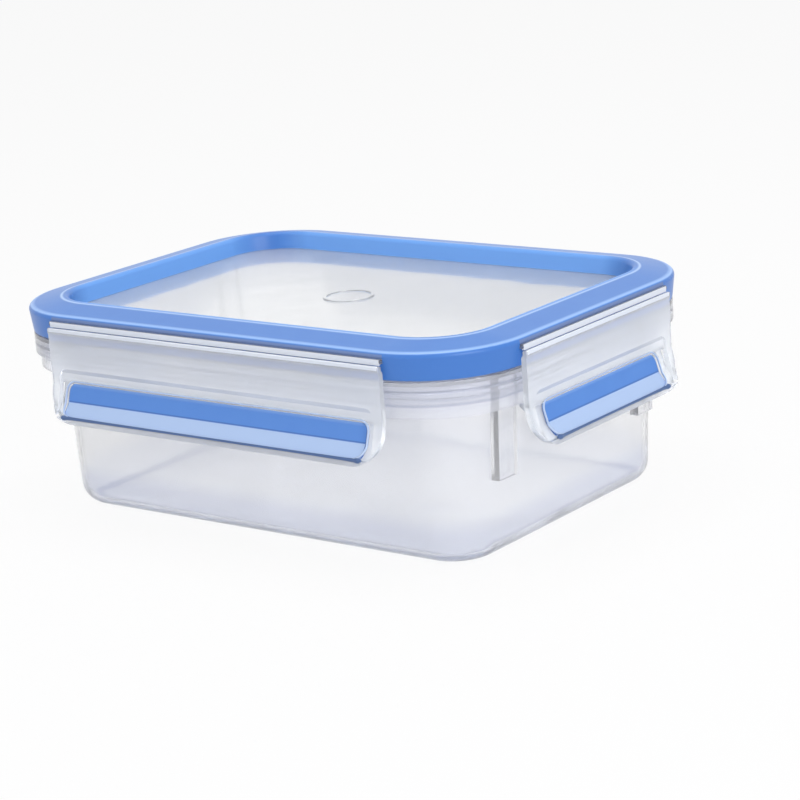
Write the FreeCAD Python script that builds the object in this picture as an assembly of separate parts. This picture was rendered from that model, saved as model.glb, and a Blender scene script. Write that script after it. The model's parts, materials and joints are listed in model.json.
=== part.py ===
import FreeCAD, Part
import os
from math import sin, tan

# Food storage container with a clear tub, a lid and four clips, closed.
# Millimetres. The origin is on the standing surface, below the middle of the box;
# +Z is up, +X runs along the long side and -Y is the front.
# The lid is a clear panel moulding with a blue rim over it. Each clip is a clear flap
# that hangs from a film hinge at the rim and holds a blue grip in a shallow tray.

# Overall size of the blue rim at its bulging outer edge
RIM_LENGTH = 197.2
RIM_WIDTH = 144.2
RIM_CORNER_RADIUS = 33.1
HEIGHT = 73.7

# Blue rim: the datum line lies inside the bulging edge, and insets run inwards from it
RIM_EDGE_PROUD = 0.6
RIM_EDGE_DROP = 2.4
RIM_EDGE_ROUNDING = 1.6
RIM_CREST_INSET = 13.2
RIM_CREST_ROUNDING = 1.6
RIM_SKIRT_DEPTH = 8.6
RIM_SKIRT_WALL = 1.8
RIM_SKIRT_TAPER = 0.5
RIM_SKIRT_ROUNDING = 0.4
RIM_COVER = 1.5
RIM_CREST_COVER = 1.9
RECESS_DEPTH = 6.2
RECESS_FOOT_INSET = 14.4
RECESS_COVER = 1.0

# Clear lid moulding
PANEL_THICKNESS = 1.6
PANEL_LAP = 1.5
DECK_EDGE_THICKNESS = 1.3
RISER_THICKNESS = 0.9
RISER_LEAN = 1.2
MARK_RADIUS = 8.8
MARK_WIDTH = 1.2
MARK_RAISE = 0.5

# Clear tub: its mouth goes round the lid's riser, with more room at the two ends
MOUTH_CLEARANCE = 0.15
MOUTH_END_EXTRA = 2.0
TUB_BASE_CORNER_RADIUS = 16.0
TUB_DRAFT_PER_MM = 0.046
TUB_WALL = 1.5
TUB_FLOOR = 1.8
TUB_BASE_FILLET = 7.2

# Collar round the tub, just below the rim skirt
COLLAR_GAP = 0.4
COLLAR_SETBACK = 0.4
COLLAR_FLANGE = 1.6
COLLAR_WALL = 1.5
COLLAR_UPPER_DEPTH = 7.1
COLLAR_STEP = 1.5
COLLAR_LOWER_DEPTH = 4.9
COLLAR_GROOVE_DROP = 2.8
COLLAR_GROOVE_WIDTH = 1.0
COLLAR_GROOVE_DEPTH = 0.4
COLLAR_OVERLAP = 1.2

# Ribs outside the short walls, beside each corner, from below the collar up to its flange
RIB_WIDTH = 9.4
RIB_PROUD = 3.0
RIB_BELOW_COLLAR = 24.1
RIB_PAST_CORNER = 3.1

# Clips: distances outwards are measured from the rim datum line
LONG_CLIP_WIDTH = 138.0
SHORT_CLIP_WIDTH = 83.0
FLAP_GAP = 0.5
FLAP_THICKNESS = 1.9
FLAP_CORNER_RADIUS = 11.0
HINGE_BELOW_EDGE = 3.4
HINGE_PAST_BEAD = 0.1
TONGUE_END_GAP = 0.5
TONGUE_THICKNESS = 1.5
TONGUE_RISE = 0.3
TONGUE_ROOT = 3.0
BEAD_DROP = 0.25
BEAD_HEIGHT = 1.4
BEAD_WIDTH = 1.5
BEAD_PROUD = 0.25
BEAD_ROUNDING = 0.6
BEAD_NECK = 0.9

# Grip face of the clip: band top, crease and lip edge
BAND_HEIGHT = 6.6
BAND_FLARE = 2.0
LIP_HEIGHT = 4.1
LIP_FLARE = 3.4
GRIP_TOP_BELOW_HOOK = 0.8
GRIP_SINK = 1.5
CREASE_SINK = 1.2
LIP_SINK = 0.6
GRIP_THICKNESS = 0.9
GRIP_ROUNDING = 3.0
GRIP_LONG_END_INSET = 6.5
GRIP_SHORT_END_INSET = 9.0
BACKING = 1.2
END_WALL = 2.3
LIP_RIM_HEIGHT = 2.2
LIP_RIM_TAPER = 0.8
LIP_RIM_THICKNESS = 2.2
LIP_ROUNDING = 0.5

# Tray round the grip
TRAY_FRAME = 3.2
TRAY_DEPTH = 1.0
TRAY_ABOVE_GRIP = 3.4
TRAY_BEVEL = 1.6
TRAY_ROUNDING = 3.5

# Hook ridge inside the flap, under the collar
HOOK_CLEARANCE = 0.3
HOOK_REACH = 1.5
HOOK_TIP = 1.1
HOOK_SLOPE = 1.8

# How far cutting shapes run past what they cut
PAST = 2.0

# Datum rectangle and heights that follow from the sizes above
datum_length = RIM_LENGTH - 2 * RIM_EDGE_PROUD
datum_width = RIM_WIDTH - 2 * RIM_EDGE_PROUD
datum_radius = RIM_CORNER_RADIUS - RIM_EDGE_PROUD
rim_edge_z = HEIGHT - RIM_EDGE_DROP
skirt_bottom_z = rim_edge_z - RIM_SKIRT_DEPTH
panel_top_z = HEIGHT - RECESS_DEPTH
panel_bottom_z = panel_top_z - PANEL_THICKNESS
deck_edge_z = rim_edge_z - RIM_COVER
deck_bottom_z = deck_edge_z - DECK_EDGE_THICKNESS
collar_top_z = skirt_bottom_z - COLLAR_GAP
collar_step_z = collar_top_z - COLLAR_UPPER_DEPTH
collar_bottom_z = collar_step_z - COLLAR_LOWER_DEPTH
hinge_z = rim_edge_z - HINGE_BELOW_EDGE
flap_outer = FLAP_GAP + FLAP_THICKNESS
hinge_out = flap_outer + BEAD_PROUD - BEAD_WIDTH / 2 + HINGE_PAST_BEAD
collar_face = COLLAR_SETBACK + COLLAR_STEP
mouth_inset = RECESS_FOOT_INSET - RECESS_COVER - RISER_THICKNESS - MOUTH_CLEARANCE
base_inset = mouth_inset - TUB_WALL + TUB_DRAFT_PER_MM * deck_bottom_z
base_half_length = datum_length / 2 - base_inset + MOUTH_END_EXTRA
base_half_width = datum_width / 2 - base_inset

Z_AXIS = FreeCAD.Vector(0, 0, 1)
ORIGIN = FreeCAD.Vector(0, 0, 0)


def rounded_face(corners):
    """Face in the XZ plane through (x, z, rounding radius) corners."""
    count = len(corners)
    points = [FreeCAD.Vector(x, 0, z) for x, z, radius in corners]
    rounds = []
    for i in range(count):
        back = (points[i - 1] - points[i]).normalize()
        ahead = (points[(i + 1) % count] - points[i]).normalize()
        half = back.getAngle(ahead) / 2
        radius = corners[i][2]
        reach = radius / tan(half)
        bulge = (back + ahead).normalize() * (radius / sin(half) - radius)
        rounds.append((points[i] + back * reach, points[i] + bulge, points[i] + ahead * reach))
    edges = []
    for i in range(count):
        start, middle, end = rounds[i]
        if corners[i][2] > 0:
            edges.append(Part.Arc(start, middle, end).toShape())
        edges.append(Part.LineSegment(end, rounds[(i + 1) % count][0]).toShape())
    return Part.Face(Part.Wire(edges))


def merged(pieces):
    """One clean solid from pieces that touch or overlap."""
    return pieces[0].multiFuse(pieces[1:]).removeSplitter().Solids[0]


def swept_round(section, centre_x, centre_y):
    """Section carried round a rounded rectangle, given its corner centres."""
    pieces = []
    starts = ((centre_x, -centre_y, centre_y), (centre_x, centre_y, centre_x),
              (-centre_x, centre_y, centre_y), (-centre_x, -centre_y, centre_x))
    for turn in range(4):
        x, y, half_run = starts[turn]
        side = section.extrude(FreeCAD.Vector(0, 2 * half_run, 0))
        side.rotate(ORIGIN, Z_AXIS, 90 * turn)
        side.translate(FreeCAD.Vector(x, y, 0))
        corner = section.revolve(ORIGIN, Z_AXIS, -90)
        corner.rotate(ORIGIN, Z_AXIS, 90 * turn)
        corner.translate(FreeCAD.Vector(x, y, 0))
        pieces += [side, corner]
    return pieces


def pan(wall_points, bottom_z, top_z, centre_x, centre_y):
    """Filled tray shape whose wall follows (distance from corner centre, z, rounding)."""
    section = rounded_face([(0, bottom_z, 0)] + wall_points + [(0, top_z, 0)])
    middle = Part.makeBox(2 * centre_x, 2 * centre_y, top_z - bottom_z,
                          FreeCAD.Vector(-centre_x, -centre_y, bottom_z))
    return merged(swept_round(section, centre_x, centre_y) + [middle])


def rim_ring(section_points):
    """Ring with a section of (inset, z, rounding) points, carried round the rim datum."""
    section = rounded_face([(datum_radius - inset, z, r) for inset, z, r in section_points])
    return merged(swept_round(section, datum_length / 2 - datum_radius,
                              datum_width / 2 - datum_radius))


# Corners of the clear deck that the blue rim lies on, shared by both lid pieces
riser_foot = (RECESS_FOOT_INSET - RECESS_COVER, panel_top_z, 0)
riser_top = (riser_foot[0] - RISER_LEAN, HEIGHT - RIM_CREST_COVER, 0)
deck_edge = (RIM_SKIRT_WALL, deck_edge_z, 0)


def build_tub():
    """Clear tub with its collar and end ribs."""
    centre_x = base_half_length - TUB_BASE_CORNER_RADIUS
    centre_y = base_half_width - TUB_BASE_CORNER_RADIUS
    top_z = deck_bottom_z
    over_z = top_z + PAST

    def wall_at(z):
        return TUB_BASE_CORNER_RADIUS + TUB_DRAFT_PER_MM * z

    outer = pan([(wall_at(0), 0, TUB_BASE_FILLET), (wall_at(top_z), top_z, 0)],
                0, top_z, centre_x, centre_y)
    inner_wall = [(wall_at(TUB_FLOOR) - TUB_WALL, TUB_FLOOR, TUB_BASE_FILLET - TUB_WALL),
                  (wall_at(over_z) - TUB_WALL, over_z, 0)]
    cavity = pan(inner_wall, TUB_FLOOR, over_z, centre_x, centre_y)

    skirt_inner = COLLAR_SETBACK + COLLAR_WALL
    lower_inner = collar_face + COLLAR_WALL
    shelf_z = collar_step_z + COLLAR_WALL
    flange_z = collar_top_z - COLLAR_FLANGE
    wall_inset = base_inset - TUB_DRAFT_PER_MM * flange_z
    reach = wall_inset + COLLAR_OVERLAP
    groove_top = collar_top_z - COLLAR_GROOVE_DROP
    groove_bottom = groove_top - COLLAR_GROOVE_WIDTH
    groove_in = COLLAR_SETBACK + COLLAR_GROOVE_DEPTH
    collar = rim_ring([
        (reach, flange_z, 0), (reach, collar_top_z, 0),
        (COLLAR_SETBACK, collar_top_z, RIM_SKIRT_ROUNDING),
        (COLLAR_SETBACK, groove_top, 0), (groove_in, groove_top - COLLAR_GROOVE_DEPTH, 0),
        (groove_in, groove_bottom + COLLAR_GROOVE_DEPTH, 0), (COLLAR_SETBACK, groove_bottom, 0),
        (COLLAR_SETBACK, collar_step_z, RIM_SKIRT_ROUNDING), (collar_face, collar_step_z, 0),
        (collar_face, collar_bottom_z, RIM_SKIRT_ROUNDING), (lower_inner, collar_bottom_z, 0),
        (lower_inner, shelf_z, 0), (skirt_inner, shelf_z, 0), (skirt_inner, flange_z, 0)])
    tub = merged([outer, collar]).cut(cavity)

    ribs = []
    rib_bottom_z = collar_bottom_z - RIB_BELOW_COLLAR
    rib_y = centre_y + RIB_PAST_CORNER - RIB_WIDTH
    for side in (-1, 1):
        proud = outer.copy()
        proud.translate(FreeCAD.Vector(side * RIB_PROUD, 0, 0))
        shell = proud.cut(cavity)
        for y in (rib_y, -rib_y - RIB_WIDTH):
            start = 0 if side > 0 else -RIM_LENGTH
            zone = Part.makeBox(RIM_LENGTH, RIB_WIDTH, flange_z - rib_bottom_z,
                                FreeCAD.Vector(start, y, rib_bottom_z))
            ribs += shell.common(zone).Solids
    return merged([tub] + ribs)


def facing(side):
    """Turn and distance that carry a piece from +X to the named side."""
    turns = {"right": 0, "back": 90, "left": 180, "front": 270}
    across = datum_length if side in ("right", "left") else datum_width
    return turns[side], across / 2


def placed(shape, side):
    """Piece built with X outwards from the rim datum, carried to its side of the box."""
    turn, distance = facing(side)
    shape.translate(FreeCAD.Vector(distance, 0, 0))
    shape.rotate(ORIGIN, Z_AXIS, turn)
    return shape


def clip_width(side):
    """Width of the flap on the named side."""
    return SHORT_CLIP_WIDTH if side in ("right", "left") else LONG_CLIP_WIDTH


def build_tongue(side):
    """Fixed half of the film hinge, which comes out through the rim skirt."""
    reach = hinge_out - TONGUE_END_GAP
    bottom = hinge_z + TONGUE_RISE
    top = bottom + TONGUE_THICKNESS
    round_end = TONGUE_THICKNESS / 2 - TONGUE_RISE / 2
    section = rounded_face([(-TONGUE_ROOT, bottom, 0), (reach, bottom, round_end),
                            (reach, top, round_end), (-TONGUE_ROOT, top, 0)])
    width = clip_width(side)
    section.translate(FreeCAD.Vector(0, -width / 2, 0))
    return placed(section.extrude(FreeCAD.Vector(0, width, 0)), side)


def build_lid_panel(tongues):
    """Clear lid moulding: recessed panel, riser, deck under the rim and hinge tongues."""
    riser_outer = riser_foot[0] - RISER_THICKNESS
    lap = RECESS_FOOT_INSET + PANEL_LAP
    deck = rim_ring([riser_foot, riser_top, deck_edge, (RIM_SKIRT_WALL, deck_bottom_z, 0),
                     (riser_outer, deck_bottom_z, 0), (riser_outer, panel_bottom_z, 0),
                     (lap, panel_bottom_z, 0), (lap, panel_top_z, 0)])
    panel_radius = datum_radius - lap
    panel = pan([(panel_radius, panel_bottom_z, 0), (panel_radius, panel_top_z, 0)],
                panel_bottom_z, panel_top_z,
                datum_length / 2 - datum_radius, datum_width / 2 - datum_radius)
    mark_base = FreeCAD.Vector(0, 0, panel_top_z)
    mark = Part.makeCylinder(MARK_RADIUS, MARK_RAISE, mark_base)
    mark = mark.cut(Part.makeCylinder(MARK_RADIUS - MARK_WIDTH, MARK_RAISE, mark_base))
    return merged([deck, panel, mark] + tongues)


def build_lid_rim(tongues):
    """Blue rim over the deck, with its skirt slotted where the hinge tongues pass."""
    rim = rim_ring([
        (RECESS_FOOT_INSET, panel_top_z, 0), (RIM_CREST_INSET, HEIGHT, RIM_CREST_ROUNDING),
        (-RIM_EDGE_PROUD, rim_edge_z, RIM_EDGE_ROUNDING),
        (RIM_SKIRT_TAPER, skirt_bottom_z, RIM_SKIRT_ROUNDING),
        (RIM_SKIRT_WALL, skirt_bottom_z, 0), deck_edge, riser_top, riser_foot])
    return rim.cut(tongues).removeSplitter().Solids[0]


# Face line of the grip, from the top of the band over the crease to the lip edge
hook_z = collar_bottom_z - HOOK_CLEARANCE
grip_top_z = hook_z - GRIP_TOP_BELOW_HOOK
crease_z = grip_top_z - BAND_HEIGHT
lip_z = crease_z - LIP_HEIGHT
clip_bottom_z = lip_z - LIP_RIM_HEIGHT
face_line = ((flap_outer - GRIP_SINK, grip_top_z),
             (flap_outer - GRIP_SINK + BAND_FLARE, crease_z),
             (flap_outer - GRIP_SINK + BAND_FLARE + LIP_FLARE, lip_z))


def shifted(line, outwards):
    """The same line moved outwards."""
    return [(x + outwards, z) for x, z in line]


def elevation(width, bottom, top, bottom_round, top_round, depth):
    """Rounded upright block across the clip, seen from outside."""
    half = width / 2
    face = rounded_face([(-half, bottom, bottom_round), (half, bottom, bottom_round),
                         (half, top, top_round), (-half, top, top_round)])
    face.rotate(ORIGIN, Z_AXIS, 90)
    face.translate(FreeCAD.Vector(-depth, 0, 0))
    return face.extrude(FreeCAD.Vector(2 * depth, 0, 0))


def along(section, width):
    """Section drawn across the clip, extruded over the given width."""
    section.translate(FreeCAD.Vector(0, -width / 2, 0))
    return section.extrude(FreeCAD.Vector(0, width, 0))


def build_grip(side):
    """Blue grip: an upright band and a flared lip."""
    band_top, crease, lip = face_line
    back_top, back_crease, back_lip = shifted(face_line, -GRIP_THICKNESS)
    end_inset = GRIP_SHORT_END_INSET if side in ("right", "left") else GRIP_LONG_END_INSET
    length = clip_width(side) - 2 * end_inset
    section = rounded_face([(*band_top, 0), (*crease, 0), (*lip, 0),
                            (*back_lip, 0), (*back_crease, 0), (*back_top, 0)])
    outline = elevation(length, lip_z, grip_top_z, GRIP_ROUNDING / 2, GRIP_ROUNDING, RIM_WIDTH)
    return along(section, length).common(outline).Solids[0]


def build_clip(side):
    """Clear flap with its hinge bead, tray, lip and hook ridge."""
    width = clip_width(side)
    bead_top = hinge_z - BEAD_DROP
    bead_outer = flap_outer + BEAD_PROUD
    bead_inner = bead_outer - BEAD_WIDTH
    neck_z = bead_top - BEAD_HEIGHT
    frame = [(x + sink, z) for (x, z), sink in zip(face_line, (GRIP_SINK, CREASE_SINK, LIP_SINK))]
    frame_lip_x = frame[2][0]
    lip_out = frame_lip_x - LIP_RIM_TAPER
    section = rounded_face([
        (FLAP_GAP, neck_z - BEAD_NECK, 0), (bead_inner, neck_z, 0),
        (bead_inner, bead_top, BEAD_ROUNDING), (bead_outer, bead_top, BEAD_ROUNDING),
        (bead_outer, neck_z, 0), (flap_outer, neck_z - BEAD_NECK, 0),
        (*frame[0], 0), (*frame[1], 0), (*frame[2], LIP_ROUNDING),
        (lip_out, clip_bottom_z, LIP_ROUNDING), (lip_out - LIP_RIM_THICKNESS, clip_bottom_z, 0),
        (frame[1][0] - END_WALL, crease_z, 0), (FLAP_GAP, hook_z, 0)])
    outline = elevation(width, clip_bottom_z, hinge_z, FLAP_CORNER_RADIUS, 0, RIM_WIDTH)
    flap = along(section, width).common(outline)

    tray_width = width - 2 * TRAY_FRAME
    floor_top, floor_crease, floor_lip = shifted(face_line, -GRIP_THICKNESS)
    back_x = floor_top[0] - BACKING
    hook_in = -collar_face - HOOK_REACH
    backing = along(rounded_face([
        (hook_in, hook_z, 0), (hook_in, hook_z - HOOK_TIP, 0),
        (back_x, hook_z - HOOK_TIP - HOOK_SLOPE, 0), (floor_crease[0] - BACKING, crease_z, 0),
        (floor_lip[0] - BACKING, lip_z, 0), (lip_out - LIP_RIM_THICKNESS, clip_bottom_z, 0),
        (lip_out - LIP_ROUNDING, clip_bottom_z, 0), (*floor_lip, 0), (*frame[1], 0),
        (flap_outer, hook_z, 0)]), tray_width)
    backing = backing.common(elevation(tray_width, clip_bottom_z, hinge_z,
                                       FLAP_CORNER_RADIUS - TRAY_FRAME, 0, RIM_WIDTH))

    tray_out = frame_lip_x + PAST
    tray_x = flap_outer - TRAY_DEPTH
    tray_z = grip_top_z + TRAY_ABOVE_GRIP
    tray = along(rounded_face([
        (*floor_top, 0), (tray_x, grip_top_z, 0), (tray_x, tray_z, 0),
        (flap_outer, tray_z + TRAY_BEVEL, 0), (tray_out, tray_z + TRAY_BEVEL, 0),
        (tray_out, lip_z, 0), (*floor_lip, 0), (*floor_crease, 0)]), tray_width)
    tray = tray.common(elevation(tray_width, lip_z, tray_z + TRAY_BEVEL,
                                 TRAY_ROUNDING / 2, TRAY_ROUNDING, RIM_WIDTH))
    return merged([flap, backing]).cut(tray).removeSplitter().Solids[0]


os.makedirs("parts", exist_ok=True)
sides = ("front", "right", "back", "left")
hinge_tongues = [build_tongue(side) for side in sides]
nodes = {"tub": build_tub(),
         "lid_panel": build_lid_panel(hinge_tongues),
         "lid_rim": build_lid_rim(hinge_tongues)}
for side in sides:
    nodes["clip_" + side] = placed(build_clip(side), side)
    nodes["grip_" + side] = placed(build_grip(side), side)
for name, shape in nodes.items():
    box = shape.BoundBox
    print(name, "valid", shape.isValid(), "volume", round(shape.Volume),
          "box", [round(v, 2) for v in (box.XMin, box.YMin, box.ZMin, box.XMax, box.YMax, box.ZMax)])
    shape.exportStep("parts/" + name + ".step")
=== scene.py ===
# %% [markdown]
# # A clip-lock food storage container
# The real thing is a clear box for leftovers: a tub, a lid with a blue rim, and four flaps
# that hang from the lid and snap under the tub's collar. This lesson dresses the working
# model of that box, so that clear plastic looks clear and the blue parts look moulded.
# Everything is in metres, stands on z = 0, and has its front towards -Y.

# %% Load the working model
import bpy
import json
from math import cos, radians, sin
from mathutils import Matrix, Vector


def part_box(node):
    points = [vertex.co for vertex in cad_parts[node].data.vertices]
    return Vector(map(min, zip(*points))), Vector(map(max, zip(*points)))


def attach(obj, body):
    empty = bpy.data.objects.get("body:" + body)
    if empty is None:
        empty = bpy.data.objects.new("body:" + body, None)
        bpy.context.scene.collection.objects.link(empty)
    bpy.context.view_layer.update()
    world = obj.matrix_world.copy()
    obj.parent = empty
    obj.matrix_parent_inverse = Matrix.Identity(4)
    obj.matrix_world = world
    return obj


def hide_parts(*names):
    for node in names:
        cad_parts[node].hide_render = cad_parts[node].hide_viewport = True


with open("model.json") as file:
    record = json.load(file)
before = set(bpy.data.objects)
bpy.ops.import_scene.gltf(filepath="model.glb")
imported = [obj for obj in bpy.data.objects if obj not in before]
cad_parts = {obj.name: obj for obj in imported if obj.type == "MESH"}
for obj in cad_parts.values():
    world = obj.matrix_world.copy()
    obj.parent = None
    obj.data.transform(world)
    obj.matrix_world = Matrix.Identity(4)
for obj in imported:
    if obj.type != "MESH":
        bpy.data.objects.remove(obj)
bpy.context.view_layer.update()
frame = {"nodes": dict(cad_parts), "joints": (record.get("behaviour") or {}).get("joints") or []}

MM = 0.001

# %% [markdown]
# ## Small helpers
# Blender's operators act on whatever is selected, so each step starts by clearing the
# selection and picking exactly one object. The working model comes in as loose triangles.
# A copy of it is merged into one skin, flat triangles are joined into whole faces, and
# then a fine bevel and smooth shading can run along its edges. Retyping every shape by
# hand would drift from the model, and copying it can't.

# %% Pick one object
def pick(piece):
    """Make this the only selected object, and the active one."""
    bpy.ops.object.select_all(action="DESELECT")
    piece.select_set(True)
    bpy.context.view_layer.objects.active = piece


# %% Apply a modifier
def apply_modifier(piece, kind, **settings):
    """Add a modifier, set it up and make it part of the mesh."""
    pick(piece)
    modifier = piece.modifiers.new(kind, kind)
    for key, value in settings.items():
        setattr(modifier, key, value)
    bpy.ops.object.modifier_apply(modifier=modifier.name)


# %% Shade softly
SMOOTH_ANGLE = radians(28)


def shade(piece, angle=SMOOTH_ANGLE):
    """Smooth shading across every edge that bends less than the angle."""
    pick(piece)
    bpy.ops.object.shade_smooth_by_angle(angle=angle)
    print(piece.name, len(piece.data.polygons), "faces")


# %% Round the edges
BEVEL_STEPS = 2
FACE_WEIGHT = 100


def soften(piece, bevel, crease=SMOOTH_ANGLE):
    """A fine bevel along every crease, and shading that is smooth across it."""
    apply_modifier(piece, "BEVEL", width=bevel, segments=BEVEL_STEPS, limit_method="ANGLE",
                   angle_limit=crease, use_clamp_overlap=True)
    shade(piece)
    apply_modifier(piece, "WEIGHTED_NORMAL", keep_sharp=True, weight=FACE_WEIGHT)


# %% Copy a solid of the working model as one smooth skin
MERGE = 0.002 * MM
FLAT_ANGLE = radians(0.4)


def skin_of(node, name, bevel, swell=0.0, crease=SMOOTH_ANGLE):
    """A merged, bevelled and smoothly shaded copy of a working solid, which it stands for."""
    source = frame["nodes"][node]
    piece = bpy.data.objects.new(name, source.data.copy())
    bpy.context.scene.collection.objects.link(piece)
    piece.data.materials.clear()
    pick(piece)
    bpy.ops.object.mode_set(mode="EDIT")
    bpy.ops.mesh.select_all(action="SELECT")
    bpy.ops.mesh.remove_doubles(threshold=MERGE)
    bpy.ops.mesh.dissolve_limited(angle_limit=FLAT_ANGLE)
    if swell:
        bpy.ops.transform.shrink_fatten(value=swell)
    bpy.ops.object.mode_set(mode="OBJECT")
    soften(piece, bevel, crease)
    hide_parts(node)
    return piece


# %% [markdown]
# ## Shader maths
# A finish is a small graph of nodes. The first class wraps a number that varies over a
# surface, so that patterns are summed like plain arithmetic. The second holds one finish,
# and one method of it makes any node. Dragging nodes by hand gives the same graph, but
# written out it can be read from top to bottom.

# %% Numbers that vary over a surface
class Value:
    """A socket that can be added, subtracted and multiplied."""

    def __init__(self, finish, socket):
        self.finish = finish
        self.socket = socket

    def maths(self, operation, first, second=0.0):
        node = self.finish.node("ShaderNodeMath", {"operation": operation},
                                {0: first, 1: second})
        return Value(self.finish, node.outputs[0])

    def __add__(self, other):
        return self.maths("ADD", self, other)

    def __sub__(self, other):
        return self.maths("SUBTRACT", self, other)

    def __mul__(self, other):
        return self.maths("MULTIPLY", self, other)

    def __rsub__(self, other):
        return self.maths("SUBTRACT", other, self)

    __radd__ = __add__
    __rmul__ = __mul__


# %% A finish and its nodes
SHARP = 0.1 * MM
MIX_FACTOR, MIX_LOW, MIX_HIGH, MIX_COLOUR = 0, 6, 7, 2


class Finish:
    """The node graph of one material or of the world, around its main shader."""

    def __init__(self, owner, shader="Principled BSDF"):
        owner.use_nodes = True
        self.owner = owner
        self.tree = owner.node_tree
        self.shader = self.tree.nodes[shader]

    def node(self, kind, settings=None, inputs=None):
        """Make a node: its settings first, then the values or links of its sockets."""
        made = self.tree.nodes.new(kind)
        for key, value in (settings or {}).items():
            setattr(made, key, value)
        self.feed(made, inputs or {})
        return made

    def feed(self, made, inputs):
        """Give sockets their values, or link them to other nodes."""
        for key, value in inputs.items():
            socket = made.inputs[key]
            if isinstance(value, Value):
                value = value.socket
            if isinstance(value, bpy.types.NodeSocket):
                self.tree.links.new(value, socket)
            elif isinstance(value, tuple) and len(value) == 3 and len(socket.default_value) == 4:
                socket.default_value = (*value, 1)
            else:
                socket.default_value = value

    def place(self):
        """Where a point is on the object."""
        return self.node("ShaderNodeTexCoord").outputs["Object"]

    def along(self, axis):
        """How far a point is along one axis."""
        parts = self.node("ShaderNodeSeparateXYZ", {}, {0: self.place()})
        return Value(self, parts.outputs[axis])

    def noise(self, size, detail):
        """Soft random pattern whose patches are about this size."""
        node = self.node("ShaderNodeTexNoise", {},
                         {"Vector": self.place(), "Scale": 1 / size, "Detail": detail})
        return Value(self, node.outputs["Fac"])

    def ramp(self, value, start, stop):
        """0 at start and 1 at stop, clamped outside them."""
        node = self.node("ShaderNodeMapRange", {},
                         {"Value": value, "From Min": start, "From Max": stop})
        return Value(self, node.outputs[0])

    def above(self, value, level, soft):
        """0 below a level and 1 above it, with an edge this soft."""
        return self.ramp(value, level - soft, level + soft)

    def below(self, value, level, soft):
        """1 below a level and 0 above it, with an edge this soft."""
        return self.ramp(value, level + soft, level - soft)

    def band(self, value, low, high, soft):
        """1 between low and high, with edges this soft."""
        return self.above(value, low, soft) * self.below(value, high, soft)

    def beside(self, half_length, axis="X", soft=SHARP):
        """1 within this distance of the middle along an axis, else 0."""
        along = self.along(axis)
        return self.ramp(along.maths("ABSOLUTE", along), half_length, half_length - soft)

    def past_edge(self, half_length, half_width, radius):
        """How far a point lies outside a rounded rectangle; negative inside it."""
        def step(operation, first, second=(0, 0, 0)):
            return self.node("ShaderNodeVectorMath", {"operation": operation},
                             {0: first, 1: second}).outputs
        flat = step("MULTIPLY", step("ABSOLUTE", self.place())[0], (1, 1, 0))[0]
        corner = step("SUBTRACT", flat, (half_length - radius, half_width - radius, 0))[0]
        reach = step("LENGTH", step("MAXIMUM", corner)[0])["Value"]
        return Value(self, reach) - radius

    def blend(self, factor, low, high):
        """Colour that goes from low to high; each is a plain colour or a socket."""
        node = self.node("ShaderNodeMix", {"data_type": "RGBA"},
                         {MIX_FACTOR: factor, MIX_LOW: low, MIX_HIGH: high})
        return node.outputs[MIX_COLOUR]

    def layered(self, tone, layers):
        """Lay each (mask, colour) zone of a list over a tone, in order."""
        for mask, zone_colour in (layers(self) if layers else ()):
            tone = self.blend(mask, tone, zone_colour)
        return tone

    def relief(self, height, depth):
        """Normal of a surface raised by the height pattern."""
        node = self.node("ShaderNodeBump", {}, {"Height": height, "Distance": depth})
        return node.outputs["Normal"]


# %% Colours as a screen shows them
def from_screen(red, green, blue):
    """Linear colour from the 0 to 255 values that a screen shows."""
    return tuple(((v / 255 + 0.055) / 1.055) ** 2.4 for v in (red, green, blue))


print("white is", from_screen(255, 255, 255))

# %% [markdown]
# ## Clear plastic
# The tub, the lid's window and the flaps are clear polypropylene: slightly milky, smooth
# outside, with slow waves left by the mould. Fully clear glass would look too hard, and a
# milky paint would hide the far walls, so most of the light passes and a set share
# scatters. Light that travels a long way inside the wall turns grey-blue, which draws the
# dark lines along the edges.

# %% Clear moulded plastic
EDGE_TINT = (0.25, 0.29, 0.42)
EDGE_DENSITY = 26.0
CLEAR_BENDING = 1.49
WAVE_SIZE, WAVE_DETAIL, WAVE_SHARE = 26 * MM, 1.0, 0.9
GRAIN_SIZE, GRAIN_DETAIL, GRAIN_SHARE = 0.9 * MM, 3.0, 0.02
GRAIN_ROUGHNESS = 0.4


def clear_plastic(name, tint, deep_tint, haze, roughness, wave, layers=None):
    """Clear plastic with a faint flow pattern; haze is the share that scatters light."""
    finish = Finish(bpy.data.materials.new(name))
    flow = finish.noise(WAVE_SIZE, WAVE_DETAIL)
    grain = finish.noise(GRAIN_SIZE, GRAIN_DETAIL)
    finish.feed(finish.shader, {
        "Base Color": finish.layered(finish.blend(flow, tint, deep_tint), layers),
        "Roughness": roughness + grain * (roughness * GRAIN_ROUGHNESS),
        "Transmission Weight": 1 - haze,
        "IOR": CLEAR_BENDING,
        "Normal": finish.relief(flow * WAVE_SHARE + grain * GRAIN_SHARE, wave)})
    depth = finish.node("ShaderNodeVolumeAbsorption", {},
                        {"Color": EDGE_TINT, "Density": EDGE_DENSITY})
    finish.feed(finish.tree.nodes["Material Output"], {"Volume": depth.outputs[0]})
    print(name, "scatters", haze, "and is", len(finish.tree.nodes), "nodes")
    return finish.owner
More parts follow.
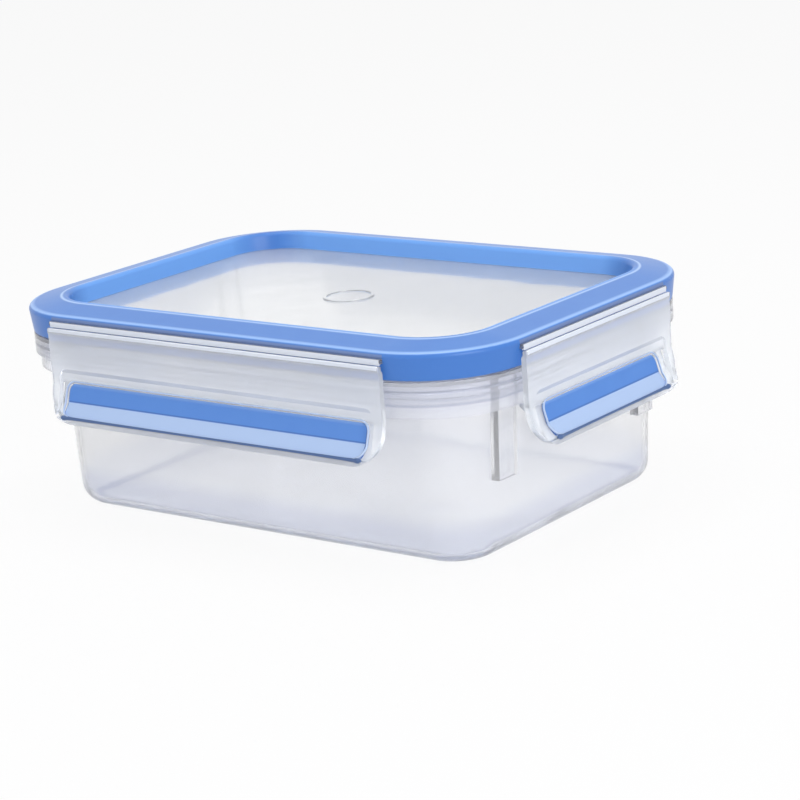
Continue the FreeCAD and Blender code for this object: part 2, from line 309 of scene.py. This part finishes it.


# %% [markdown]
# ## The tub's zones
# The collar round the tub's mouth stands out from the wall, and its deeper tone is painted
# shade, as are the darker lines along its groove and its step. Near the base the eye meets
# the wall and the floor of the tub together, so painted shade deepens the tone again, and
# the rounded foot gets a painted dark edge. Separate pieces for collar and wall would show
# seams that one moulded tub doesn't have, so one finish changes with the height instead.

# %% Heights and outline of the tub's zones
COLLAR_FOOT = 50.3 * MM
COLLAR_STEP = 54.4 * MM
COLLAR_GROOVE = 59.0 * MM
STEP_LINE, GROOVE_LINE = 0.4 * MM, 0.5 * MM
LINE_SOFT = 0.2 * MM
BASE_SHADE_TOP, BASE_SHADE_SOFT = 13 * MM, 3 * MM
BASE_EDGE_TOP, BASE_EDGE_SOFT = 1.3 * MM, 0.4 * MM
BASE_LENGTH, BASE_WIDTH, BASE_CORNER = 84.9 * MM, 56.9 * MM, 16 * MM
BASE_ROUNDING = 5.4 * MM
print("collar from", COLLAR_FOOT / MM, "mm, foot up to", BASE_EDGE_TOP / MM, "mm")

# %% Colours of the tub's zones
# Painted shade: the collar's deeper tones and the darker lines at its step and groove.
LOWER_COLLAR_SHADE = from_screen(246, 247, 252)
UPPER_COLLAR_SHADE = from_screen(239, 241, 248)
STEP_SHADE = from_screen(218, 221, 232)
GROOVE_SHADE = from_screen(224, 227, 238)
# Painted shade: a deeper tone near the base and a dark line along the rounded foot.
BASE_SHADE = from_screen(240, 242, 249)
BASE_EDGE_SHADE = from_screen(136, 148, 182)


def tub_zones(finish):
    """Painted shade: deeper collar with its two darker lines, deeper tone near the base, and a
    dark edge along the foot.
    """
    height = finish.along("Z")
    past = finish.past_edge(BASE_LENGTH, BASE_WIDTH, BASE_CORNER)
    foot = finish.below(height, BASE_EDGE_TOP, BASE_EDGE_SOFT)
    foot_edge_shade = foot * finish.above(past, -BASE_ROUNDING, BASE_EDGE_SOFT)
    step_line = finish.band(height, COLLAR_STEP - STEP_LINE, COLLAR_STEP + STEP_LINE, LINE_SOFT)
    groove_line = finish.band(height, COLLAR_GROOVE - GROOVE_LINE, COLLAR_GROOVE + GROOVE_LINE,
                              LINE_SOFT)
    return [(finish.above(height, COLLAR_FOOT, LINE_SOFT), LOWER_COLLAR_SHADE),
            (finish.below(height, BASE_SHADE_TOP, BASE_SHADE_SOFT), BASE_SHADE),
            (foot_edge_shade, BASE_EDGE_SHADE),
            (finish.ramp(height, COLLAR_STEP, COLLAR_STEP + STEP_LINE), UPPER_COLLAR_SHADE),
            (step_line, STEP_SHADE),
            (groove_line, GROOVE_SHADE)]


# %% The clear finishes
clear_tub = clear_plastic("clear_tub", from_screen(255, 255, 255), from_screen(251, 251, 252),
                          haze=0.18, roughness=0.09, wave=0.5 * MM, layers=tub_zones)
clear_lid = clear_plastic("clear_lid", from_screen(254, 255, 255), from_screen(251, 253, 255),
                          haze=0.14, roughness=0.07, wave=0.15 * MM)
clear_flap = clear_plastic("clear_flap", from_screen(250, 252, 255), from_screen(245, 249, 255),
                           haze=0.32, roughness=0.06, wave=0.25 * MM)
milky_web = clear_plastic("milky_web", from_screen(238, 243, 254), from_screen(231, 238, 252),
                          haze=0.85, roughness=0.15, wave=0.1 * MM)

# %% [markdown]
# ## Blue plastic
# The rim and the grips are solid blue with a satin surface. On the rim a painted highlight
# makes the outer edge pale, and painted shade makes the skirt under it deeper in colour and
# draws a dark line above each hinge. The thin inner wall is painted lighter, a painted glow
# for the light it lets through, except in its corners, and a painted highlight runs along
# the crest. The grip's flared lip is painted pale for the light it catches from above, a
# line of painted shade runs where it folds out, its top edge gets a painted highlight and
# its ends painted shade. Each zone could be a piece of its own, but a moulding has no
# joints there, so zones of one finish are laid over the blue. They follow heights and the
# distance from the lid's edge, so they stay in place on any side.

# %% Layers of blue
BLUE = from_screen(71, 126, 206)
PALE_BLUE = from_screen(79, 134, 211)
GRIP_BLUE = from_screen(77, 132, 213)
PALE_GRIP_BLUE = from_screen(84, 139, 217)
# Painted light: the grip's flared lip is painted pale for the light it catches from above.
PAINTED_LIP_LIGHT = from_screen(176, 200, 238)
# Painted shade: dark blue along the grip's fold and at the grip's ends.
CREASE_SHADE_BLUE = from_screen(58, 104, 180)
# Painted shade: the deeper blue of the rim's skirt under its edge.
SKIRT_SHADE_BLUE = from_screen(66, 121, 201)
# Painted glow: the rim's thin inner wall is painted lighter for the light it lets through; its
# corners keep the plain darker blue as painted shade.
PAINTED_GLOW_BLUE = from_screen(108, 164, 238)
# Painted highlight: pale blue along the rim's outer edge and the grip's top edge.
EDGE_HIGHLIGHT_BLUE = from_screen(150, 189, 246)
# Painted highlight: a pale line along the rim's crest.
CREST_HIGHLIGHT_BLUE = from_screen(172, 203, 248)
# Painted shade: the dark line between the rim's edge and the film hinge.
SLATE_SHADE_BLUE = from_screen(104, 128, 178)
# Painted shade: the bead along the lip's edge is painted dark for the shade under the lip.
SHADED_BEAD_BLUE = from_screen(66, 92, 138)
SHADED_BEAD_PALE_BLUE = from_screen(78, 106, 154)
# Painted highlight and reflection: the clear tray bead is tinted pale blue for the light it
# catches and the grip's blue it picks up.
GLINT_BLUE = from_screen(200, 218, 248)
DEEP_GLINT_BLUE = from_screen(190, 211, 246)
print("blue is", [round(v, 3) for v in BLUE])

# %% Blue moulded plastic
SATIN, SATIN_GRAIN = 0.28, 0.12
BLUE_BENDING = 1.45
SATIN_SIZE, SATIN_DETAIL = 0.35 * MM, 2.0
CLOUD_SIZE, CLOUD_DETAIL = 9 * MM, 3.0


def blue_plastic(name, colour, pale_colour, grain_depth, layers=None):
    """Solid satin plastic with a fine moulded grain; layers lists (mask, colour) zones."""
    finish = Finish(bpy.data.materials.new(name))
    grain = finish.noise(SATIN_SIZE, SATIN_DETAIL)
    tone = finish.blend(finish.noise(CLOUD_SIZE, CLOUD_DETAIL), colour, pale_colour)
    finish.feed(finish.shader, {
        "Base Color": finish.layered(tone, layers),
        "Roughness": SATIN + grain * SATIN_GRAIN,
        "IOR": BLUE_BENDING,
        "Normal": finish.relief(grain, grain_depth)})
    print(name, "is", len(finish.tree.nodes), "nodes")
    return finish.owner


# %% Where the rim's zones are
SOFT = 0.15 * MM
rim_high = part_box("lid_rim")[1]
RIM_EDGE_BELOW_TOP = 2.15 * MM
RIM_CORNER = 33 * MM
RIM_CREST = 11.4 * MM
OUTER_WIDTH, OUTER_SOFT = 2.1 * MM, 0.3 * MM
CREST_FADE = 0.8 * MM
CREST_INWARD, CREST_OUTWARD, CREST_SOFT = 0.2 * MM, 0.6 * MM, 0.3 * MM
SKIRT_FADE = 0.4 * MM
HIGHLIGHT_BELOW, HIGHLIGHT_ABOVE = 0.1 * MM, 0.35 * MM
SLATE_GAP = 0.45 * MM
CORNER_ALONG, CORNER_ACROSS = 76 * MM, 50 * MM
CORNER_SOFT = 12 * MM
TONGUE_TOP = 69.7 * MM
FLAP_HALF_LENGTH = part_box("clip_front")[1].x
FLAP_HALF_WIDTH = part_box("clip_right")[1].y
rim_edge_z = rim_high.z - RIM_EDGE_BELOW_TOP
print("rim edge at", round(rim_edge_z / MM, 1))


# %% Zones of the rim
def rim_zones(finish):
    """Painted zones of the rim: shade on the skirt and above the hinges, highlights on the outer
    edge and crest, and a glow on the inner wall but not in its corners.
    """
    height = finish.along("Z")
    past = finish.past_edge(rim_high.x, rim_high.y, RIM_CORNER)
    outer = finish.above(past, -OUTER_WIDTH, OUTER_SOFT)
    inner = finish.ramp(past, -RIM_CREST, -RIM_CREST - CREST_FADE)
    on_long_side = finish.beside(FLAP_HALF_LENGTH)
    by_hinge = on_long_side.maths("MAXIMUM", on_long_side, finish.beside(FLAP_HALF_WIDTH, "Y"))
    shaded_corner = ((1 - finish.beside(CORNER_ALONG, "X", CORNER_SOFT))
                 * (1 - finish.beside(CORNER_ACROSS, "Y", CORNER_SOFT)))
    skirt = finish.ramp(height, rim_edge_z, rim_edge_z - SKIRT_FADE)
    # Painted highlight along the rim's outer edge.
    edge_highlight = finish.band(height, rim_edge_z - HIGHLIGHT_BELOW, rim_edge_z + HIGHLIGHT_ABOVE, SOFT)
    # Painted shade above the hinge tongue.
    shade_over_tongue = finish.band(height, TONGUE_TOP, rim_edge_z - SLATE_GAP, SOFT)
    # Painted highlight along the crest.
    crest = finish.band(past, -RIM_CREST - CREST_INWARD, -RIM_CREST + CREST_OUTWARD, CREST_SOFT)
    return [(outer * skirt, SKIRT_SHADE_BLUE),
            (outer * edge_highlight, EDGE_HIGHLIGHT_BLUE),
            (outer * by_hinge * shade_over_tongue, SLATE_SHADE_BLUE),
            (inner, PAINTED_GLOW_BLUE),
            (inner * shaded_corner, BLUE),
            (crest, CREST_HIGHLIGHT_BLUE)]


# %% Where the grips' zones are
grip_low, grip_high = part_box("grip_front")
LIP_HEIGHT = 4.1 * MM
crease_z = grip_low.z + LIP_HEIGHT
LIP_PAST_CREASE = 0.45 * MM
lip_top = crease_z + LIP_PAST_CREASE
FOLD_START, FOLD_END = 0.1 * MM, 0.45 * MM
TOP_EDGE_FROM, TOP_EDGE_TO, TOP_HIGHLIGHT_SHARE = 1.2 * MM, 0.3 * MM, 0.5
END_DEPTH = 0.25 * MM
LONG_GRIP_END = grip_high.x - END_DEPTH
SHORT_GRIP_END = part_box("grip_right")[1].y - END_DEPTH
LONG_SIDE_REACH = 80 * MM
print("lip up to", round(lip_top / MM, 1))


# %% Zones of a grip
def grip_zones(finish):
    """Painted light on the lip, painted shade along the fold above it, a painted highlight on the
    top edge and painted shade at the grip's ends.
    """
    height = finish.along("Z")
    on_long_side = finish.beside(LONG_SIDE_REACH)
    long_end = (1 - finish.beside(LONG_GRIP_END)) * on_long_side
    short_end = (1 - finish.beside(SHORT_GRIP_END, "Y")) * (1 - on_long_side)
    fold_shade = finish.band(height, lip_top + FOLD_START, lip_top + FOLD_END, SOFT)
    # Painted highlight along the grip's top edge.
    top_highlight = finish.ramp(height, grip_high.z - TOP_EDGE_FROM, grip_high.z - TOP_EDGE_TO)
    return [(finish.below(height, lip_top, SHARP), PAINTED_LIP_LIGHT),
            (fold_shade, CREASE_SHADE_BLUE),
            (top_highlight * TOP_HIGHLIGHT_SHARE, EDGE_HIGHLIGHT_BLUE),
            (long_end + short_end, CREASE_SHADE_BLUE)]


# %% The blue finishes
blue_rim = blue_plastic("blue_rim", BLUE, PALE_BLUE, grain_depth=0.02 * MM, layers=rim_zones)
blue_grip = blue_plastic("blue_grip", GRIP_BLUE, PALE_GRIP_BLUE, grain_depth=0.03 * MM,
                         layers=grip_zones)
# Painted shade: the lip's edge bead is dark blue for the shade under the lip.
blue_edge = blue_plastic("blue_edge", SHADED_BEAD_BLUE, SHADED_BEAD_PALE_BLUE, grain_depth=0.02 * MM)
blue_glint = clear_plastic("blue_glint", GLINT_BLUE, DEEP_GLINT_BLUE,
                           haze=0.85, roughness=0.12, wave=0.1 * MM)

# %% [markdown]
# ## The moulded pieces
# The tub, window, rim, flaps and grips keep the shapes of the working model. They could be
# modelled again from cubes, but that would only add errors. Each gets a bevel about as
# fine as a real mould leaves, because a dead sharp edge never catches the light. The blue
# pieces are a hair larger than modelled, so that they touch the clear plastic they are
# bonded to. Lamps shine through clear plastic, so the clear pieces don't block the light
# on what lies behind them.

# %% Finish a piece
def finish_piece(piece, material, body):
    """Give a piece its finish, and let it move with its body."""
    piece.data.materials.append(material)
    piece.visible_shadow = not material.name.startswith("clear")
    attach(piece, body)
    print(piece.name, "rides on", body)


# %% Dress the rigid pieces
SIDES = ("front", "right", "back", "left")
EDGE = 0.22 * MM
BOND = 0.02 * MM
GRIP_CREASE = radians(15)
finish_piece(skin_of("tub", "tub_shell", EDGE), clear_tub, "box")
finish_piece(skin_of("lid_panel", "lid_window", EDGE), clear_lid, "box")
finish_piece(skin_of("lid_rim", "lid_frame", EDGE, BOND), blue_rim, "box")
for side in SIDES:
    flap = skin_of("clip_" + side, "flap_" + side, EDGE)
    finish_piece(flap, clear_flap, side + "_flap")
    grip = skin_of("grip_" + side, "grip_bar_" + side, EDGE, BOND, GRIP_CREASE)
    finish_piece(grip, blue_grip, side + "_flap")

# %% [markdown]
# ## Working on one side at a time
# The four sides repeat one another, turned by a quarter, and opposite sides are equally
# long. A small piece is therefore modelled in the front's own directions, with x along
# the side, -y outwards and z up, and measured from a datum line 2 mm inside the line
# where the flap bends. It is made once at each of the two lengths and copied for the
# opposite side. Then each is pushed out and turned to its side. Modelling it four times
# in place would be the same work four times.

# %% Where each side is
HINGE_OUT = 2.0 * MM
TURNS = {"front": 0, "right": 90, "back": 180, "left": 270}
COPIED_FROM = {"back": "front", "left": "right"}
hinges = {joint["child"]: joint for joint in frame["joints"]}


def side_reach(side):
    """Distance from the middle of the box to this side's datum line."""
    x, y, _ = hinges[side + "_flap"]["pos_m"]
    return max(abs(x), abs(y)) - HINGE_OUT


def side_length(node):
    """Length of a node along its own side."""
    low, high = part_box(node)
    size = high - low
    return max(size.x, size.y)


for side in SIDES:
    print(side, "datum at", round(side_reach(side) / MM, 1))


# %% Put a piece on its side
def put_on_side(piece, side):
    """Push a piece modelled at the datum out to its side, turn it there and fix it."""
    pick(piece)
    piece.matrix_world = (Matrix.Rotation(radians(TURNS[side]), 4, "Z")
                          @ Matrix.Translation((0, -side_reach(side), 0))
                          @ piece.matrix_world)
    bpy.ops.object.transform_apply(location=True, rotation=True, scale=True)


def twin_of(piece):
    """Copy of a piece, with its own mesh."""
    twin = piece.copy()
    twin.data = piece.data.copy()
    bpy.context.scene.collection.objects.link(twin)
    return twin


def on_all_sides(name, model, complete, material, body=None):
    """Model the long and the short piece, copy each across, place and complete all four."""
    pieces = {}
    for side in SIDES:
        across = COPIED_FROM.get(side)
        pieces[side] = twin_of(pieces[across]) if across else model(side)
    for side in SIDES:
        piece = pieces[side]
        piece.name = name + "_" + side
        put_on_side(piece, side)
        complete(piece)
        finish_piece(piece, material, body or side + "_flap")


# %% A bar to start from
def straight_bar(length, inner, outer, low, high):
    """Bar along x between two distances out from the datum and two heights."""
    bpy.ops.object.select_all(action="DESELECT")
    bpy.ops.mesh.primitive_cube_add(size=1, location=(0, -(inner + outer) / 2, (low + high) / 2),
                                    scale=(length, outer - inner, high - low))
    bpy.ops.object.transform_apply(location=True, rotation=True, scale=True)
    return bpy.context.object


# %% Select faces of the mesh in edit mode
SQUARELY = 0.9


def select_nothing(piece):
    """Leave edit mode with no vertex, edge or face selected."""
    bpy.ops.object.mode_set(mode="OBJECT")
    for group in (piece.data.vertices, piece.data.edges, piece.data.polygons):
        for part in group:
            part.select = False


def select_faces(piece, wanted):
    """Select the faces whose middle and normal pass the test, and nothing else."""
    select_nothing(piece)
    for face in piece.data.polygons:
        face.select = wanted(piece.matrix_world @ face.center, face.normal)
    bpy.ops.object.mode_set(mode="EDIT")
    bpy.ops.mesh.select_mode(type="FACE")


# %% [markdown]
# ## The film hinge
# Each flap bends on a thin web of its own plastic. From outside it shows as a second
# milky bead above the flap's own bead. The flap's top could be thinned into this web, but
# then it would swing out with the flap. As a piece of its own it stays with the lid, and
# the flap turns past it. It starts as a flat bar under the tongue of the lid. Its outer
# strip is cut free with a bisect and drawn up over the tongue's end, so that the section
# is an L.

# %% Model the film hinges
WEB_INNER, WEB_OUTER = 0.6 * MM, 1.58 * MM
TONGUE_WRAP = 1.2 * MM
WEB_LOW, WEB_HIGH = 67.72 * MM, 68.18 * MM
CAP_RISE = 1.35 * MM
WEB_END_GAP = 0.4 * MM
WEB_BEVEL = 0.16 * MM


def film_hinge(side):
    """L-shaped web along one side's hinge."""
    length = side_length("clip_" + side) - 2 * WEB_END_GAP
    piece = straight_bar(length, WEB_INNER, WEB_OUTER, WEB_LOW, WEB_HIGH)
    bpy.ops.object.mode_set(mode="EDIT")
    bpy.ops.mesh.select_all(action="SELECT")
    bpy.ops.mesh.bisect(plane_co=(0, -TONGUE_WRAP, 0), plane_no=(0, 1, 0))
    select_faces(piece, lambda centre, normal: normal.z > SQUARELY and centre.y < -TONGUE_WRAP)
    bpy.ops.mesh.extrude_region_move(TRANSFORM_OT_translate={"value": (0, 0, CAP_RISE)})
    bpy.ops.object.mode_set(mode="OBJECT")
    return piece


on_all_sides("film_hinge", film_hinge, lambda piece: soften(piece, WEB_BEVEL),
             milky_web, "box")

# %% [markdown]
# ## The flap's bead
# Below the web the flap starts with a thick rounded bead of its own, which looks whiter
# than the thin flap under it. A round rod would do, but the real bead is flat in front.
# It is therefore a bar before the flap's top edge, and its edges are rounded far more
# than the rest of the mould, with a bevel in edit mode.

# %% Model the flap beads
BEAD_INNER, BEAD_OUTER = 1.9 * MM, 2.69 * MM
BEAD_LOW, BEAD_HIGH = 66.3 * MM, 67.66 * MM
BEAD_ROUNDING = 0.3 * MM
BEAD_STEPS = 4


def flap_bead(side):
    """Rounded bar along the top edge of one flap."""
    length = side_length("clip_" + side) - 2 * WEB_END_GAP
    piece = straight_bar(length, BEAD_INNER, BEAD_OUTER, BEAD_LOW, BEAD_HIGH)
    bpy.ops.object.mode_set(mode="EDIT")
    bpy.ops.mesh.select_all(action="SELECT")
    bpy.ops.mesh.bevel(offset=BEAD_ROUNDING, offset_type="OFFSET", segments=BEAD_STEPS,
                       affect="EDGES")
    bpy.ops.object.mode_set(mode="OBJECT")
    return piece


on_all_sides("flap_bead", flap_bead, shade, milky_web)

# %% [markdown]
# ## The lip's edge
# Under the pale-painted lip the blue plastic ends in a rounded bead, painted dark for the
# shade under the lip. It swells into a small bulb at each end, where it is locked into the
# clear corner. Balls stuck on a rod would leave a hard ring where they meet. So a thin
# cylinder along the lip has its own ends drawn out and swollen in steps, and one level of
# subdivision makes the bulbs round.

# %% Model the lip edges
LIP_BEAD_RADIUS = 0.42 * MM
LIP_BEAD_SIDES = 14
LIP_BEAD_OUT, LIP_BEAD_UP = 6.45 * MM, 0.15 * MM
BULB_ROOM = 5.6 * MM
BULB_STEPS = ((0.7, 1.6), (0.8, 1.35), (1.0, 0.95), (0.5, 0.65), (0.3, 0.5))
BULB_SMOOTH = radians(60)


def lip_edge(side):
    """Dark bead with a bulb at each end, along the bottom of one grip."""
    length = side_length("grip_" + side) - BULB_ROOM
    bpy.ops.object.select_all(action="DESELECT")
    bpy.ops.mesh.primitive_cylinder_add(
        vertices=LIP_BEAD_SIDES, radius=LIP_BEAD_RADIUS, depth=length,
        location=(0, -LIP_BEAD_OUT, grip_low.z + LIP_BEAD_UP), rotation=(0, radians(90), 0))
    piece = bpy.context.object
    bpy.ops.object.transform_apply(location=True, rotation=True, scale=True)
    for end in (-1, 1):
        select_faces(piece, lambda centre, normal: normal.x * end > SQUARELY)
        for draw, swell in BULB_STEPS:
            bpy.ops.mesh.extrude_region_move(
                TRANSFORM_OT_translate={"value": (end * draw * MM, 0, 0)})
            bpy.ops.transform.resize(value=(1, swell, swell))
        bpy.ops.object.mode_set(mode="OBJECT")
    return piece


def round_bulbs(piece):
    """Subdivide once and shade the whole bead smoothly."""
    apply_modifier(piece, "SUBSURF", levels=1, render_levels=1)
    shade(piece, BULB_SMOOTH)


on_all_sides("lip_edge", lip_edge, round_bulbs, blue_edge)

# %% [markdown]
# ## The bead round the grip
# The clear tray that holds the grip has a thin raised bead round the blue bar, which
# picks up its colour. A bar bent at two corners would twist where it follows the slope of
# the grip's face. So it starts as a flat plate the size of the opening, with two round
# top corners, and is cut across at the height where the face folds. Only its outline is
# kept and laid on the slope, and the outline is then given a round section.

# %% The slope of the grip's face
FACE_LINE = ((49.2 * MM, 0.9 * MM), (42.6 * MM, 2.9 * MM), (38.5 * MM, 6.3 * MM))


def face_out(height):
    """How far out the grip's face stands at this height."""
    (top, top_out), (fold, fold_out), (foot, foot_out) = FACE_LINE
    if height > fold:
        return top_out + (top - height) / (top - fold) * (fold_out - top_out)
    return fold_out + (fold - height) / (fold - foot) * (foot_out - fold_out)


print("the lip flares to", round(face_out(grip_low.z) / MM, 2))

# %% The outline of the opening
TRAY_GAP = 0.75 * MM
TRAY_FOOT = 0.6 * MM
TRAY_RADIUS = 3.4 * MM
TRAY_CORNER_STEPS = 8


def opening_outline(length, top, foot):
    """Outline of an upright plate with two round top corners, left open at its foot."""
    middle = (top + foot) / 2
    bpy.ops.object.select_all(action="DESELECT")
    bpy.ops.mesh.primitive_plane_add(size=1, location=(0, 0, middle), rotation=(radians(90), 0, 0))
    piece = bpy.context.object
    piece.scale = (length, top - foot, 1)
    bpy.ops.object.transform_apply(location=True, rotation=True, scale=True)
    for vertex in piece.data.vertices:
        vertex.select = vertex.co.z > middle
    bpy.ops.object.mode_set(mode="EDIT")
    bpy.ops.mesh.select_mode(type="VERT")
    bpy.ops.mesh.bevel(offset=TRAY_RADIUS, offset_type="OFFSET", segments=TRAY_CORNER_STEPS,
                       affect="VERTICES")
    bpy.ops.mesh.select_all(action="SELECT")
    bpy.ops.mesh.bisect(plane_co=(0, 0, crease_z), plane_no=(0, 0, 1))
    bpy.ops.mesh.select_all(action="SELECT")
    bpy.ops.mesh.delete(type="ONLY_FACE")
    bpy.ops.object.mode_set(mode="OBJECT")
    for edge in piece.data.edges:
        start, end = (piece.data.vertices[i].co for i in edge.vertices)
        edge.select = abs(start.z - end.z) < MERGE and start.z < top - MERGE
    bpy.ops.object.mode_set(mode="EDIT")
    bpy.ops.mesh.select_mode(type="EDGE")
    bpy.ops.mesh.delete(type="EDGE")
    return piece


# %% Lay the outline on the slope
TRAY_PROUD = 0.5 * MM
SAME_HEIGHT_DIGITS = 7


def lay_on_face(piece):
    """Move each row of points out to just before the grip's face."""
    select_nothing(piece)
    for height in sorted({round(v.co.z, SAME_HEIGHT_DIGITS) for v in piece.data.vertices}):
        select_nothing(piece)
        for vertex in piece.data.vertices:
            vertex.select = abs(vertex.co.z - height) < MERGE
        bpy.ops.object.mode_set(mode="EDIT")
        bpy.ops.mesh.select_mode(type="VERT")
        bpy.ops.transform.translate(value=(0, -face_out(height) - TRAY_PROUD, 0))
    bpy.ops.object.mode_set(mode="OBJECT")


# %% Model the beads round the grips
TRAY_SECTION, TRAY_ROUNDNESS = 0.36 * MM, 2
TRAY_SMOOTH = radians(50)


def tray_bead(side):
    """Thin bead over the top and down both ends of one grip."""
    length = side_length("grip_" + side) + 2 * TRAY_GAP
    piece = opening_outline(length, grip_high.z + TRAY_GAP, grip_low.z + TRAY_FOOT)
    lay_on_face(piece)
    pick(piece)
    bpy.ops.object.convert(target="CURVE")
    piece.data.bevel_depth = TRAY_SECTION
    piece.data.bevel_resolution = TRAY_ROUNDNESS
    piece.data.use_fill_caps = True
    bpy.ops.object.convert(target="MESH")
    return piece


on_all_sides("tray_bead", tray_bead, lambda piece: shade(piece, TRAY_SMOOTH),
             blue_glint)

# %% [markdown]
# ## Studio floor
# The box stands on one large pale floor. It glows white where it is seen directly, in a
# reflection or through the clear walls, and keeps the box's soft shadow. A brighter lamp
# would whiten it too, but would also bleach the box.

# %% Floor
FLOOR_SIZE = 12.0
FLOOR_DROP = 0.05 * MM
bpy.ops.object.select_all(action="DESELECT")
bpy.ops.mesh.primitive_plane_add(size=FLOOR_SIZE, location=(0, 0, -FLOOR_DROP))
floor = bpy.context.object
floor.name = "floor"
print(floor.name, FLOOR_SIZE, "m wide")


# %% What is seen directly
def seen_directly(finish):
    """1 where the camera, a mirror reflection or a view through glass looks, else 0."""
    path = finish.node("ShaderNodeLightPath")
    camera_ray, glossy_ray, through_ray = (
        Value(finish, path.outputs[name])
        for name in ("Is Camera Ray", "Is Glossy Ray", "Is Transmission Ray"))
    total = camera_ray + glossy_ray + through_ray
    return total.maths("MINIMUM", total, 1.0)


# %% Floor finish
FLOOR_COLOUR = (0.88, 0.88, 0.89)
FLOOR_GLOW = 0.88
floor_finish = Finish(bpy.data.materials.new("pale_floor"))
floor_finish.feed(floor_finish.shader, {"Base Color": FLOOR_COLOUR, "Roughness": 0.9,
                                        "Specular IOR Level": 0.1})
glow = floor_finish.node("ShaderNodeEmission", {}, {"Color": (1.0, 1.0, 1.0), "Strength": 1.0})
mixed = floor_finish.node("ShaderNodeMixShader", {}, {
    0: seen_directly(floor_finish) * FLOOR_GLOW, 1: floor_finish.shader.outputs[0],
    2: glow.outputs[0]})
floor_finish.feed(floor_finish.tree.nodes["Material Output"], {0: mixed.outputs[0]})
floor.data.materials.append(floor_finish.owner)
print("floor glows by", FLOOR_GLOW)

# %% [markdown]
# ## Light
# The world is a plain white surround that gives even light, and one wide softbox above
# and one at the right model the shapes, with a weak one in front for the flaps. Small
# lamps would give hard sparkles in the clear plastic.

# %% World
WORLD_LIGHT = 0.53
world = bpy.data.worlds.new("studio")
bpy.context.scene.world = world
surround = Finish(world, "Background")
surround.feed(surround.shader, {
    "Color": (1.0, 1.0, 1.0),
    "Strength": seen_directly(surround) * (1 - WORLD_LIGHT) + WORLD_LIGHT})
print("surround lights by", WORLD_LIGHT)


# %% Lamps
LAMPS_AIM = Vector((0, 0, 0.04))


def softbox(name, place, size, power):
    """Square lamp with a soft edge, turned towards the box."""
    data = bpy.data.lights.new(name, "AREA")
    data.shape = "SQUARE"
    data.size = size
    data.energy = power
    lamp = bpy.data.objects.new(name, data)
    bpy.context.scene.collection.objects.link(lamp)
    lamp.location = place
    lamp.rotation_euler = (LAMPS_AIM - Vector(place)).to_track_quat("-Z", "Y").to_euler()
    print(name, power, "W")


softbox("overhead", (0.0, -0.05, 1.1), size=0.9, power=5.0)
softbox("right_side", (1.2, -0.5, 0.55), size=0.7, power=7.0)
softbox("front_fill", (-0.6, -1.3, 0.5), size=0.8, power=2.0)

# %% [markdown]
# ## Camera
# The camera looks from a little above the table, turned past the near corner towards the
# long front. A short lens close by would spread the near corner, so a long lens stands
# further off and keeps the far edges of the lid nearly parallel. The tilt of a hand-held
# camera is kept as a small roll.

# %% Which way the camera faces
AZIMUTH, ELEVATION, ROLL = radians(38.05), radians(15.0), radians(-4.18)
back = Vector((sin(AZIMUTH) * cos(ELEVATION), -cos(AZIMUTH) * cos(ELEVATION), sin(ELEVATION)))
right = Vector((cos(AZIMUTH), sin(AZIMUTH), 0))
up = back.cross(right)
camera_x = cos(ROLL) * right + sin(ROLL) * up
camera_y = cos(ROLL) * up - sin(ROLL) * right
turn = Matrix((camera_x, camera_y, back)).transposed()
print("camera faces", [round(-v, 3) for v in back])

# %% Camera
DISTANCE = 0.870
AIMED_AT = Vector((0.0100, 0.0110, 0.0294))
camera_data = bpy.data.cameras.new("camera")
camera_data.lens = 114.66
camera_data.sensor_width = 36.0
camera_data.clip_start = 0.01
camera_data.clip_end = 50.0
camera = bpy.data.objects.new("camera", camera_data)
bpy.context.scene.collection.objects.link(camera)
camera.matrix_world = Matrix.Translation(AIMED_AT + back * DISTANCE) @ turn.to_4x4()
bpy.context.scene.camera = camera
print("camera at", [round(v, 3) for v in camera.matrix_world.translation])

# %% [markdown]
# ## View and bounces
# Colours are shown as they are written. A ray that looks through the lid, the far wall
# and the floor of the tub crosses many surfaces, and would end black if it were stopped
# early, so more bounces are allowed than an opaque object needs.

# %% View and bounces
BOUNCES = 24
bpy.context.scene.view_settings.view_transform = "Standard"
bpy.context.scene.cycles.max_bounces = BOUNCES
bpy.context.scene.cycles.transmission_bounces = BOUNCES
print(BOUNCES, "bounces")
